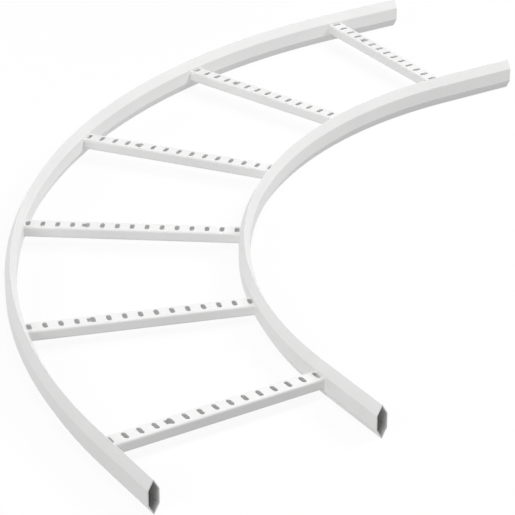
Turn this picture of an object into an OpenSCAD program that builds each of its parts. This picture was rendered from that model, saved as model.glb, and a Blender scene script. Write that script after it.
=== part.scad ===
// Flat right-angle cable ladder bend: two hollow side rails joined by radial channel rungs.
// All lengths are in millimetres. The part lies on the floor on the lower ridges of its rails.

/* [Bend] */
// Clear width between the side rails, which is also the length of a rung
inside_width = 360; // [200:10:600]
// Radius of the bend at the middle of the rungs
mid_radius = 985; // [600:5:1400]
// Angle that the bend turns through
bend_angle = 90; // [30:1:90]
// Straight length of rail at each end, past the first and the last rung
tail_length = 150; // [60:5:300]

/* [Side rails] */
// Height of a rail from its lower ridge to its upper ridge
rail_height = 56; // [46:0.5:70]
// Width of a rail across its upright sides
rail_width = 18.7; // [14:0.1:24]
// Height of an upright side, between its two creases
rail_side_height = 23.8; // [21:0.1:32]
// Sheet thickness of a rail
rail_wall = 1.4; // [1:0.1:2]
// Outside radius of the upper and lower ridge
ridge_outer_radius = 0.6; // [0.3:0.1:3]
// Inside radius of the upper and lower ridge
ridge_inner_radius = 0.5; // [0.3:0.1:2]
// Inside radius of the bends at the creases beside the upright sides
crease_inner_radius = 1; // [0.5:0.1:3]

/* [Rungs] */
// Number of rungs, the first and the last at the ends of the curve
rung_count = 6; // [3:1:8]
// Width of a rung
rung_width = 29.6; // [26:0.1:40]
// Height of a rung
rung_height = 18.8; // [14:0.1:20]
// Height of a rung's top above the middle of the rails
rung_top_rise = 8.95; // [7.5:0.05:11]
// Sheet thickness of a rung
rung_wall = 1.4; // [1:0.1:2]
// Inside radius of the bends of a rung
rung_inner_radius = 2.2; // [0.5:0.1:2.5]
// Width of the lips that turn in under a rung
rung_lip = 7; // [5.5:0.5:10]

/* [Slots] */
// Distance from slot to slot along a rung
slot_pitch = 25; // [20:1:50]
// Width of a slot, along the rung
slot_width = 8; // [5:0.5:9]
// Length of a slot, across the rung
slot_length = 17.5; // [13.5:0.5:19]
// Least steel left between the last slot and the rail
slot_end_land = 0.7; // [0.2:0.1:3]
// Place of the keyhole in the row, counted from the outer rail
keyhole_place = 5; // [1:1:7]
// How far the keyhole's tab reaches past its slot, towards the outer rail
tab_reach = 5.3; // [3:0.1:7]
// Width of the keyhole's tab, across the rung
tab_width = 12; // [8:0.5:13]
// Radius of the tab's corners
tab_corner_radius = 1; // [0.3:0.1:2]

/* [Hidden] */
$fn = 144;

// Flats that stand for each bend of the sheet
bend_steps = 6;

// Faces of the rails that the rungs butt against, and the middles of the rails
outer_face_radius = mid_radius + inside_width / 2;
inner_face_radius = mid_radius - inside_width / 2;
outer_rail_radius = outer_face_radius + rail_width / 2;
inner_rail_radius = inner_face_radius - rail_width / 2;

// Directions of the two ends, seen from the middle of the bend
near_angle = 180;
far_angle = near_angle - bend_angle;

// Box around the whole bend, seen from the middle of the bend
box_low = [-outer_rail_radius - rail_width / 2, -tail_length];
box_high = [
    (inner_rail_radius - rail_width / 2) * cos(far_angle) + tail_length * sin(far_angle),
    (outer_rail_radius + rail_width / 2) * sin(far_angle) - tail_length * cos(far_angle)
];

// Middle of the bend in the part's frame, whose origin is under the middle of that box
bend_centre = [-(box_low.x + box_high.x) / 2, -(box_low.y + box_high.y) / 2, rail_height / 2];

// Rail section as sharp corners: the ridge stands higher than the rail by what its rounding takes off
rail_half = rail_width / 2;
crease_z = rail_side_height / 2;
crease_outer_radius = crease_inner_radius + rail_wall;
ridge_k = crease_z - rail_height / 2 + ridge_outer_radius;
ridge_rise =
    (-rail_half * rail_half * ridge_k + rail_half * ridge_outer_radius
        * sqrt(rail_half * rail_half + ridge_k * ridge_k - ridge_outer_radius * ridge_outer_radius))
    / (rail_half * rail_half - ridge_outer_radius * ridge_outer_radius);
ridge_z = crease_z + ridge_rise;
slope_length = norm([rail_half, ridge_rise]);

// The same corners one sheet thickness further in
inner_rail_half = rail_half - rail_wall;
inner_crease_z = crease_z - rail_wall * (slope_length - ridge_rise) / rail_half;
inner_ridge_z = ridge_z - rail_wall * slope_length / rail_half;

// Rungs: spacing, and outer bend radius
rung_step = bend_angle / (rung_count - 1);
rung_radius = rung_inner_radius + rung_wall;

// How far a rung runs into the rail before its end is trimmed to the rail's face
rung_overrun = rail_width / 4;

// Slots: as many as the rung has room for, in a row centred on the rung
slot_count = floor((inside_width - slot_width - 2 * slot_end_land) / slot_pitch) + 1;
slot_row = (slot_count - 1) * slot_pitch;

// Cutters run past both faces of the sheet by this much
cut_past = rung_wall / 2;

// Points of a bend of radius r at corner b, on the way from corner a to corner c
function unit(v) = v / norm(v);
function bend(a, b, c, r) =
    let (
        to_a = unit(a - b),
        to_c = unit(c - b),
        half_angle = acos(to_a * to_c) / 2,
        centre = b + unit(to_a + to_c) * r / sin(half_angle),
        start = b + to_a * r / tan(half_angle) - centre,
        stop = b + to_c * r / tan(half_angle) - centre,
        from = atan2(start.y, start.x),
        turn = (atan2(stop.y, stop.x) - from + 540) % 360 - 180
    )
    [for (i = [0:bend_steps])
        let (angle = from + turn * i / bend_steps)
        centre + r * [cos(angle), sin(angle)]];

// Closed outline with every corner bent to its own radius
function outline(corners, radii) =
    let (n = len(corners))
    [for (i = [0:n - 1]) each bend(corners[(i + n - 1) % n], corners[i], corners[(i + 1) % n], radii[i])];

// Six corners of a rail section, from the upper ridge round
function rail_corners(half, crease, ridge) =
    [[0, ridge], [-half, crease], [-half, -crease], [0, -ridge], [half, -crease], [half, crease]];
function rail_radii(ridge_r, crease_r) = [ridge_r, crease_r, crease_r, ridge_r, crease_r, crease_r];

// Section of the hollow rail
module rail_section() {
    outside = outline(
        rail_corners(rail_half, crease_z, ridge_z),
        rail_radii(ridge_outer_radius, crease_outer_radius)
    );
    inside = outline(
        rail_corners(inner_rail_half, inner_crease_z, inner_ridge_z),
        rail_radii(ridge_inner_radius, crease_inner_radius)
    );
    polygon(
        concat(outside, inside),
        [[for (i = [0:len(outside) - 1]) i], [for (i = [0:len(inside) - 1]) len(outside) + i]]
    );
}

// Carries a section along the bend: a straight tail, the curve and the other tail
module along_bend(radius) {
    rotate([90, 0, near_angle])
        translate([0, 0, -tail_length])
            linear_extrude(tail_length)
                translate([radius, 0])
                    children();
    rotate([0, 0, far_angle])
        rotate_extrude(angle = bend_angle)
            translate([radius, 0])
                children();
    rotate([90, 0, far_angle])
        linear_extrude(tail_length)
            translate([radius, 0])
                children();
}

// Space that a rail takes up beside the rungs, up to the face that they butt against
module rail_seat(radius) {
    along_bend(radius)
        square([rail_width, rail_side_height], center = true);
}

// Section of a rung: a channel with its back up and a lip under each side
module rung_section() {
    half = rung_width / 2;
    top = rung_top_rise;
    low = top - rung_height;
    in_half = half - rung_wall;
    in_top = top - rung_wall;
    in_low = low + rung_wall;
    lip = half - rung_lip;
    polygon(concat(
        [[lip, low]],
        bend([lip, low], [half, low], [half, top], rung_radius),
        bend([half, low], [half, top], [-half, top], rung_radius),
        bend([half, top], [-half, top], [-half, low], rung_radius),
        bend([-half, top], [-half, low], [-lip, low], rung_radius),
        [[-lip, low], [-lip, in_low]],
        bend([-lip, in_low], [-in_half, in_low], [-in_half, in_top], rung_inner_radius),
        bend([-in_half, in_low], [-in_half, in_top], [in_half, in_top], rung_inner_radius),
        bend([-in_half, in_top], [in_half, in_top], [in_half, in_low], rung_inner_radius),
        bend([in_half, in_top], [in_half, in_low], [lip, in_low], rung_inner_radius),
        [[lip, in_low]]
    ));
}

// Outline of a slot, which runs across the rung with round ends
module slot_outline() {
    straight = slot_length - slot_width;
    square([slot_width, straight], center = true);
    for (side = [-1, 1])
        translate([0, side * straight / 2])
            circle(d = slot_width);
}

// Outline of the tab that makes a slot into the keyhole
module tab_outline() {
    reach = slot_width / 2 + tab_reach;
    half = tab_width / 2;
    polygon(concat(
        [[0, half], [0, -half]],
        bend([0, -half], [reach, -half], [reach, half], tab_corner_radius),
        bend([reach, -half], [reach, half], [0, half], tab_corner_radius)
    ));
}

// Cutters for the row of slots in a rung that lies along X
module slot_row_cut() {
    cut_z = rung_top_rise - rung_wall - cut_past;
    for (place = [1:slot_count])
        translate([mid_radius + slot_row / 2 - (place - 1) * slot_pitch, 0, cut_z])
            linear_extrude(rung_wall + 2 * cut_past) {
                slot_outline();
                if (place == keyhole_place) tab_outline();
            }
}

// A rung that lies along X, still too long at both ends
module rung_bar() {
    difference() {
        translate([inner_face_radius - rung_overrun, 0, 0])
            rotate([90, 0, 90])
                linear_extrude(inside_width + 2 * rung_overrun)
                    rung_section();
        slot_row_cut();
    }
}

module outer_side_rail() {
    color("whitesmoke")
        translate(bend_centre)
            along_bend(outer_rail_radius)
                rail_section();
}

module inner_side_rail() {
    color("gainsboro")
        translate(bend_centre)
            along_bend(inner_rail_radius)
                rail_section();
}

// Rung k, trimmed to the faces of both rails
module rung(k) {
    color("lightsteelblue")
        translate(bend_centre)
            difference() {
                rotate([0, 0, near_angle - (k - 1) * rung_step])
                    rung_bar();
                rail_seat(outer_rail_radius);
                rail_seat(inner_rail_radius);
            }
}

outer_side_rail();
inner_side_rail();
for (k = [1:rung_count]) rung(k);
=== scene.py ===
"""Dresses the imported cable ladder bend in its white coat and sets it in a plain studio."""

from __future__ import annotations

import logging
import math
from dataclasses import dataclass
from enum import Enum

import bpy
from mathutils import Matrix, Vector

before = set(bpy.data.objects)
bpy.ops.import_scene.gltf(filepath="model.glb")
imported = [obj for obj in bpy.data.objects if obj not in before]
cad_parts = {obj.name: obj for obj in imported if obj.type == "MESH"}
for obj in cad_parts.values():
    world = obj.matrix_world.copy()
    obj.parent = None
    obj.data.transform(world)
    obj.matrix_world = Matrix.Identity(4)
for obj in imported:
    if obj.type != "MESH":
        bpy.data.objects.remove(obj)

LOG = logging.getLogger("cable_ladder_bend")
MM = 0.001
OPAQUE = 1.0
WHITE = (1.0, 1.0, 1.0, OPAQUE)
SEEN_WHITE = 1.0
Colour = tuple[float, float, float]
Socket = bpy.types.NodeSocket


class MathOp(Enum):
    """Sums that a Math node can do."""

    ADD = "ADD"
    SUBTRACT = "SUBTRACT"
    MULTIPLY = "MULTIPLY"
    MINIMUM = "MINIMUM"
    MAXIMUM = "MAXIMUM"
    ABSOLUTE = "ABSOLUTE"
    ROOT = "SQRT"
    LESS = "LESS_THAN"


class MixKind(Enum):
    """What a Mix node mixes: the data type, and the numbers of its two inputs and its output."""

    VALUE = ("FLOAT", 2, 3, 0)
    COLOUR = ("RGBA", 6, 7, 2)


class RailSide(Enum):
    """Which of the two concentric rails a piece belongs to."""

    OUTER = "outer_side_rail"
    INNER = "inner_side_rail"


@dataclass(frozen=True)
class BendSizes:
    """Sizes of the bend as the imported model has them: lengths in metres, the slope in degrees."""

    inside_width: float = 360.0 * MM
    mid_radius: float = 985.0 * MM
    tail_length: float = 150.0 * MM
    rail_height: float = 56.0 * MM
    rail_width: float = 18.7 * MM
    rail_side_height: float = 23.8 * MM
    rail_wall: float = 1.4 * MM
    ridge_slope: float = 60.80
    rung_count: int = 6

    @property
    def centre(self) -> float:
        """Distance of the bend's middle from the origin, to +X and to -Y alike."""
        reach = self.mid_radius + self.inside_width / 2 + self.rail_width
        return (reach - self.tail_length) / 2

    def rail_radius(self, side: RailSide) -> float:
        """Radius of a rail's middle line."""
        offset = (self.inside_width + self.rail_width) / 2
        return self.mid_radius + (offset if side is RailSide.OUTER else -offset)


@dataclass(frozen=True)
class Noise:
    """A noise pattern: its waves in a metre, about, its finer layers and how strong those are."""

    scale: float
    layers: float
    layer_strength: float = 0.5


class NodeGraph:
    """A node tree, with short ways to add what the finishes and the studio need."""

    def __init__(self, tree: bpy.types.NodeTree) -> None:
        """Takes over a tree and empties it.

        Args:
            tree: the node tree of a material or a world.
        """
        self.tree = tree
        self.tree.nodes.clear()

    def add(self, kind: str) -> bpy.types.Node:
        """Adds a node of a kind and returns it."""
        return self.tree.nodes.new(kind)

    def link(self, start: Socket, end: Socket) -> None:
        """Joins two sockets."""
        self.tree.links.new(start, end)

    def feed(self, value: Socket | float, end: Socket) -> None:
        """Gives an input a socket to follow, or a number of its own.

        Args:
            value: socket or number.
            end: the input.
        """
        if isinstance(value, Socket):
            self.link(value, end)
        else:
            end.default_value = value

    def place(self) -> Socket:
        """Place on the piece, in its object coordinates."""
        return self.add("ShaderNodeTexCoord").outputs["Object"]

    def math(self, op: MathOp, first: Socket | float, second: Socket | float = 0.0) -> Socket:
        """Adds a sum.

        Args:
            op: the sum to do.
            first: socket or number.
            second: socket or number.

        Returns:
            The socket that carries the result.
        """
        node = self.add("ShaderNodeMath")
        node.operation = op.value
        self.feed(first, node.inputs[0])
        self.feed(second, node.inputs[1])
        return node.outputs[0]

    def choose(self, kind: MixKind, mask: Socket, without: Socket, within: Socket) -> Socket:
        """Takes one socket where a mask is 0 and another where it is 1.

        Args:
            kind: what the sockets carry.
            mask: the mask.
            without: socket for where the mask is 0.
            within: socket for where the mask is 1.

        Returns:
            The socket that carries the choice.
        """
        data_type, first, second, result = kind.value
        node = self.add("ShaderNodeMix")
        node.data_type = data_type
        self.link(mask, node.inputs[0])
        self.link(without, node.inputs[first])
        self.link(within, node.inputs[second])
        return node.outputs[result]

    def noise(self, pattern: Noise) -> Socket:
        """Adds a noise on the piece's own coordinates.

        Args:
            pattern: the noise.

        Returns:
            The socket with the noise, from 0 to 1.
        """
        node = self.add("ShaderNodeTexNoise")
        node.inputs["Scale"].default_value = pattern.scale
        node.inputs["Detail"].default_value = pattern.layers
        node.inputs["Roughness"].default_value = pattern.layer_strength
        self.link(self.place(), node.inputs["Vector"])
        return node.outputs["Fac"]

    def ramp(self, factor: Socket, stops: tuple[tuple[float, Colour], ...]) -> Socket:
        """Turns a factor into a colour.

        Args:
            factor: socket from 0 to 1.
            stops: two places on the ramp, each with its colour.

        Returns:
            The colour socket.
        """
        node = self.add("ShaderNodeValToRGB")
        for element, (position, colour) in zip(node.color_ramp.elements, stops):
            element.position = position
            element.color = (*colour, OPAQUE)
        self.link(factor, node.inputs["Fac"])
        return node.outputs["Color"]

    def span(
        self, factor: Socket, low: float, high: float, start: float = 0.0, stop: float = 1.0
    ) -> Socket:
        """Stretches a factor from start..stop to low..high, and keeps it level past both ends.

        Args:
            factor: socket to stretch.
            low: what it becomes at the start.
            high: what it becomes at the stop.
            start: value at which the stretch starts.
            stop: value at which it stops.

        Returns:
            The stretched socket.
        """
        node = self.add("ShaderNodeMapRange")
        node.inputs["From Min"].default_value = start
        node.inputs["From Max"].default_value = stop
        node.inputs["To Min"].default_value = low
        node.inputs["To Max"].default_value = high
        self.link(factor, node.inputs["Value"])
        return node.outputs["Result"]

    def distance(self) -> Socket:
        """Adds the distance from the piece's origin.

        Returns:
            The socket with the distance in metres.
        """
        node = self.add("ShaderNodeVectorMath")
        node.operation = "LENGTH"
        self.link(self.place(), node.inputs[0])
        return node.outputs["Value"]

    def bump(self, height: Socket, strength: Socket | float, depth: float) -> Socket:
        """Adds a bump.

        Args:
            height: socket with the relief, from 0 to 1.
            strength: share of the bump that is used, as a socket or a number.
            depth: height of the relief in metres.

        Returns:
            The normal socket.
        """
        node = self.add("ShaderNodeBump")
        node.inputs["Distance"].default_value = depth
        self.feed(strength, node.inputs["Strength"])
        self.link(height, node.inputs["Height"])
        return node.outputs["Normal"]

    def seen(self) -> Socket:
        """Tells what is looked at, straight, mirrored or through glass, from what only gives light.

        Returns:
            The socket that is 1 for the first and 0 for the second.
        """
        path = self.add("ShaderNodeLightPath").outputs
        looked_at = self.math(MathOp.MAXIMUM, path["Is Camera Ray"], path["Is Glossy Ray"])
        return self.math(MathOp.MAXIMUM, looked_at, path["Is Transmission Ray"])

    def paper(self, level: float) -> Socket:
        """Adds dull grey paper.

        Args:
            level: how light the grey is, from 0 to 1.

        Returns:
            The shader socket.
        """
        node = self.add("ShaderNodeBsdfDiffuse")
        node.inputs["Color"].default_value = (level, level, level, OPAQUE)
        return node.outputs["BSDF"]

    def glow(self, strength: float) -> Socket:
        """Adds an even white glow.

        Args:
            strength: how strong it is, where 1 is white to the eye.

        Returns:
            The shader socket.
        """
        node = self.add("ShaderNodeEmission")
        node.inputs["Color"].default_value = WHITE
        node.inputs["Strength"].default_value = strength
        return node.outputs["Emission"]

    def blend(self, share: Socket, first: Socket, second: Socket) -> Socket:
        """Blends two shaders.

        Args:
            share: socket that says how much of the second shows.
            first: shader socket.
            second: shader socket.

        Returns:
            The blended shader's socket.
        """
        node = self.add("ShaderNodeMixShader")
        self.link(share, node.inputs[0])
        self.link(first, node.inputs[1])
        self.link(second, node.inputs[2])
        return node.outputs[0]

    def end(self, kind: str, surface: Socket) -> None:
        """Ends the tree with an output of a kind that shows the surface."""
        self.link(surface, self.add(kind).inputs["Surface"])


class MaterialGraph(NodeGraph):
    """The node tree of a new material."""

    def __init__(self, name: str) -> None:
        """Starts an empty material.

        Args:
            name: name of the material.
        """
        self.material = bpy.data.materials.new(name)
        self.material.use_nodes = True
        super().__init__(self.material.node_tree)

    def finish(self, surface: Socket) -> bpy.types.Material:
        """Ends the tree with its output and returns the material."""
        self.end("ShaderNodeOutputMaterial", surface)
        return self.material


@dataclass(frozen=True)
class Finish:
    """A surface in soft patches of two close tones, with a fine grain in its roughness."""

    dark: Colour
    light: Colour
    patches: Noise
    patch_stops: tuple[float, float]
    grain: Noise
    smoothest: float
    roughest: float

    def colour(self, graph: NodeGraph) -> Socket:
        """Adds the patches and returns their colour socket."""
        low, high = self.patch_stops
        return graph.ramp(graph.noise(self.patches), ((low, self.dark), (high, self.light)))

    def roughness(self, graph: NodeGraph) -> Socket:
        """Adds the grain and returns its roughness socket."""
        return graph.span(graph.noise(self.grain), self.smoothest, self.roughest)


@dataclass(frozen=True)
class PowderCoat(Finish):
    """Satin white powder coat: a slightly uneven tone and a faint orange-peel relief."""

    dark: Colour = (0.868, 0.868, 0.864)
    light: Colour = (0.90, 0.90, 0.895)
    patches: Noise = Noise(scale=9.0, layers=4.0, layer_strength=0.6)
    patch_stops: tuple[float, float] = (0.30, 0.62)
    grain: Noise = Noise(scale=1600.0, layers=2.0)
    smoothest: float = 0.42
    roughest: float = 0.52
    specular: float = 0.35
    peel: Noise = Noise(scale=420.0, layers=2.0, layer_strength=0.45)
    peel_strength: float = 0.22
    peel_depth: float = 0.06 * MM

    def relief(self, graph: NodeGraph, strength: Socket | float) -> Socket:
        """Adds the orange peel at a strength and returns its normal socket."""
        return graph.bump(graph.noise(self.peel), strength, self.peel_depth)

    def material(self) -> bpy.types.Material:
        """Makes the coat as a material of its own.

        Returns:
            The material.
        """
        graph = MaterialGraph("white_powder_coat")
        shader = graph.add("ShaderNodeBsdfPrincipled")
        shader.inputs["Specular IOR Level"].default_value = self.specular
        graph.link(self.colour(graph), shader.inputs["Base Color"])
        graph.link(self.roughness(graph), shader.inputs["Roughness"])
        graph.link(self.relief(graph, self.peel_strength), shader.inputs["Normal"])
        return graph.finish(shader.outputs["BSDF"])


@dataclass(frozen=True)
class BareSteelAndShade(Finish):
    """Steel inside the tubes, where the coat does not reach: dull grey with small blotches; its
    grey is set darker than the coat to paint the shade deep in the tube.
    """

    # Both tones sit well under the coat's so that the inside reads dark: the steel's own grey,
    # darkened further as painted shade of the tube's hollow.
    dark: Colour = (0.72, 0.72, 0.715)
    light: Colour = (0.78, 0.78, 0.775)
    patches: Noise = Noise(scale=55.0, layers=5.0, layer_strength=0.62)
    patch_stops: tuple[float, float] = (0.32, 0.68)
    grain: Noise = Noise(scale=700.0, layers=3.0)
    smoothest: float = 0.48
    roughest: float = 0.66
    metallic: float = 0.1


@dataclass(frozen=True)
class CoatedTube:
    """Finish of a hollow rail: coated outside and on its cut ends, uncoated steel inside, whose
    darker grey paints the shade in the tube.
    """

    sizes: BendSizes
    side: RailSide
    coat: PowderCoat = PowderCoat()
    bare_and_shade: BareSteelAndShade = BareSteelAndShade()
    # Inner edge of each cut rim that takes the darker inside tone, the painted shade of the tube.
    rim_bare_and_shade: float = 0.25 * MM

    def depth_in_tube(self, graph: NodeGraph) -> Socket:
        """Distance of a point from the outside of the rail.

        The section is bounded by its upright sides, its slopes and level lines over its ridges.

        Args:
            graph: the tree to add to.

        Returns:
            The socket with the distance in metres: 0 on the outside, negative within.
        """
        sizes = self.sizes
        axes = graph.add("ShaderNodeSeparateXYZ")
        graph.link(graph.place(), axes.inputs["Vector"])
        from_centre_x = graph.math(MathOp.SUBTRACT, axes.outputs["X"], sizes.centre)
        from_centre_y = graph.math(MathOp.ADD, axes.outputs["Y"], sizes.centre)
        to_left = graph.math(MathOp.MINIMUM, from_centre_x, 0.0)
        to_back = graph.math(MathOp.MAXIMUM, from_centre_y, 0.0)
        squares = graph.math(
            MathOp.ADD,
            graph.math(MathOp.MULTIPLY, to_left, to_left),
            graph.math(MathOp.MULTIPLY, to_back, to_back),
        )
        radius = graph.math(MathOp.ROOT, squares)
        rail_middle = sizes.rail_height / 2
        from_middle_line = graph.math(MathOp.SUBTRACT, radius, sizes.rail_radius(self.side))
        from_middle_height = graph.math(MathOp.SUBTRACT, axes.outputs["Z"], rail_middle)
        across = graph.math(MathOp.ABSOLUTE, from_middle_line)
        up = graph.math(MathOp.ABSOLUTE, from_middle_height)
        past_side = graph.math(MathOp.SUBTRACT, across, sizes.rail_width / 2)
        past_crease = graph.math(MathOp.SUBTRACT, up, sizes.rail_side_height / 2)
        slope = math.radians(sizes.ridge_slope)
        past_slope = graph.math(
            MathOp.ADD,
            graph.math(MathOp.MULTIPLY, past_side, math.sin(slope)),
            graph.math(MathOp.MULTIPLY, past_crease, math.cos(slope)),
        )
        past_ridge = graph.math(MathOp.SUBTRACT, up, rail_middle)
        past_sides = graph.math(MathOp.MAXIMUM, past_side, past_slope)
        return graph.math(MathOp.MAXIMUM, past_sides, past_ridge)

    def material(self) -> bpy.types.Material:
        """Makes the rail's material: one shader, whose inputs change over where the coat ends and
        the darker steel inside paints the tube's shade.

        Returns:
            The material.
        """
        coat = self.coat
        bare_and_shade = self.bare_and_shade
        graph = MaterialGraph(f"coated_tube_{self.side.value}")
        bare_shade_from = self.rim_bare_and_shade - self.sizes.rail_wall
        # Mask of the tube's inside and the rim's inner edge, where the darker steel tone paints the
        # shade in the hollow.
        inside = graph.math(MathOp.LESS, self.depth_in_tube(graph), bare_shade_from)
        colour = graph.choose(MixKind.COLOUR, inside, coat.colour(graph), bare_and_shade.colour(graph))
        roughness = graph.choose(
            MixKind.VALUE, inside, coat.roughness(graph), bare_and_shade.roughness(graph)
        )
        shader = graph.add("ShaderNodeBsdfPrincipled")
        shader.inputs["Specular IOR Level"].default_value = coat.specular
        graph.link(colour, shader.inputs["Base Color"])
        graph.link(roughness, shader.inputs["Roughness"])
        graph.link(graph.span(inside, 0.0, bare_and_shade.metallic), shader.inputs["Metallic"])
        peel_share = graph.span(inside, coat.peel_strength, 0.0)
        graph.link(coat.relief(graph, peel_share), shader.inputs["Normal"])
        return graph.finish(shader.outputs["BSDF"])


def dress(node: str, material: bpy.types.Material) -> None:
    """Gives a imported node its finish.

    Args:
        node: name of the node.
        material: the finish.
    """
    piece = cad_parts[node]
    for slot in piece.material_slots:
        slot.material = material
    LOG.info("dressed %s in %s", node, material.name)


@dataclass
class SideRail:
    """One of the two hollow rails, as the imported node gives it."""

    sizes: BendSizes
    side: RailSide

    def dress(self) -> None:
        """Coats the rail and leaves its inside uncoated, in a darker grey that paints the shade in
        the tube.
        """
        dress(self.side.value, CoatedTube(self.sizes, self.side).material())


@dataclass
class RungSet:
    """The radial slotted rungs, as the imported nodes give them."""

    sizes: BendSizes
    coat: PowderCoat = PowderCoat()

    def dress(self) -> None:
        """Coats every rung."""
        material = self.coat.material()
        for number in range(1, self.sizes.rung_count + 1):
            dress(f"rung_{number}", material)


@dataclass(frozen=True)
class SoftBox:
    """A large round lamp that looks at the middle of the bend, and that the camera does not see."""

    name: str
    azimuth: float
    elevation: float
    power: float
    distance: float = 4.0
    width: float = 2.5
    aim: tuple[float, float, float] = (0.0, 0.0, 0.03)

    def build(self) -> None:
        """Hangs the lamp at its place and turns it to the bend."""
        data = bpy.data.lights.new(self.name, "AREA")
        data.shape = "DISK"
        data.size = self.width
        data.energy = self.power
        lamp = bpy.data.objects.new(self.name, data)
        lamp.visible_camera = False
        bpy.context.scene.collection.objects.link(lamp)
        azimuth = math.radians(self.azimuth)
        elevation = math.radians(self.elevation)
        level = math.cos(elevation)
        out = Vector((math.cos(azimuth) * level, math.sin(azimuth) * level, math.sin(elevation)))
        turn = (-out).to_track_quat("-Z", "Y").to_matrix().to_4x4()
        lamp.matrix_world = Matrix.Translation(Vector(self.aim) + self.distance * out) @ turn
        LOG.info("hung the %s", self.name)


@dataclass
class Studio:
    """Plain white studio: a pale floor, a soft dome and five soft boxes.

    To the eye the floor is mostly an even white, with a share of dull white paper round the bend
    that takes its shadow. To the bend it is an even fill from below, and the dome an even fill
    from above.
    """

    floor_half: float = 9.0
    paper_level: float = 0.97
    paper_share: float = 0.10
    paper_near: float = 1.2
    paper_far: float = 3.5
    floor_fill: float = 0.56
    dome_fill: float = 0.186
    boxes: tuple[SoftBox, ...] = (
        SoftBox("right_side_box", azimuth=-15.0, elevation=45.0, power=98.0),
        SoftBox(
            "left_side_box", azimuth=-165.0, elevation=30.0, power=110.0, distance=6.0, width=3.5
        ),
        SoftBox("front_box", azimuth=-120.0, elevation=60.0, power=9.2, distance=1.9, width=1.0),
        SoftBox("back_left_box", azimuth=120.0, elevation=20.0, power=6.8, distance=2.0, width=0.7),
        SoftBox("back_right_box", azimuth=45.0, elevation=35.0, power=2.5, distance=2.0, width=0.8),
    )

    def floor(self) -> None:
        """Lays the floor."""
        bpy.ops.object.select_all(action="DESELECT")
        bpy.ops.mesh.primitive_plane_add(size=2.0 * self.floor_half, location=(0.0, 0.0, 0.0))
        floor = bpy.context.active_object
        floor.name = "studio_floor"
        graph = MaterialGraph("studio_floor_white")
        share = graph.span(
            graph.distance(), self.paper_share, 0.0, start=self.paper_near, stop=self.paper_far
        )
        shown = graph.blend(share, graph.glow(SEEN_WHITE), graph.paper(self.paper_level))
        surface = graph.blend(graph.seen(), graph.glow(self.floor_fill), shown)
        floor.data.materials.append(graph.finish(surface))
        LOG.info("laid the floor")

    def dome(self) -> None:
        """Hangs the dome, white to the eye."""
        world = bpy.data.worlds.new("studio_dome")
        bpy.context.scene.world = world
        world.use_nodes = True
        graph = NodeGraph(world.node_tree)
        background = graph.add("ShaderNodeBackground")
        background.inputs["Color"].default_value = WHITE
        strength = graph.span(graph.seen(), self.dome_fill, SEEN_WHITE)
        graph.link(strength, background.inputs["Strength"])
        graph.end("ShaderNodeOutputWorld", background.outputs["Background"])
        LOG.info("hung the dome")

    def lamps(self) -> None:
        """Hangs the soft boxes."""
        for box in self.boxes:
            box.build()


@dataclass(frozen=True)
class PhotoCamera:
    """Camera at the photo's viewing angle, with a lens set for the photo's frame width."""

    place: tuple[float, float, float] = (-2.02577, -3.11597, 1.82044)
    look: tuple[float, float, float] = (0.47345, 0.75535, -0.4534)
    roll: float = 0.00134
    focal_px: float = 2423.5
    frame_px: float = 515.0
    sensor_mm: float = 36.0
    far: float = 60.0

    def build(self) -> None:
        """Sets the camera up and makes it the scene's own."""
        data = bpy.data.cameras.new("photo_camera")
        data.sensor_width = self.sensor_mm
        data.lens = self.focal_px * self.sensor_mm / self.frame_px
        data.clip_end = self.far
        camera = bpy.data.objects.new("photo_camera", data)
        bpy.context.scene.collection.objects.link(camera)
        turn = Vector(self.look).to_track_quat("-Z", "Y").to_matrix().to_4x4()
        tilt = Matrix.Rotation(self.roll, 4, "Z")
        camera.matrix_world = Matrix.Translation(Vector(self.place)) @ turn @ tilt
        bpy.context.scene.camera = camera
        LOG.info("set the camera")


def main() -> None:
    """Builds the camera, the finishes and the studio in order."""
    logging.basicConfig(level=logging.INFO, format="%(name)s: %(message)s")
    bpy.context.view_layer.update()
    sizes = BendSizes()
    PhotoCamera().build()
    for side in RailSide:
        SideRail(sizes, side).dress()
    RungSet(sizes).dress()
    studio = Studio()
    studio.floor()
    studio.dome()
    studio.lamps()
    bpy.context.scene.view_settings.view_transform = "Standard"


if __name__ == "__main__":
    main()
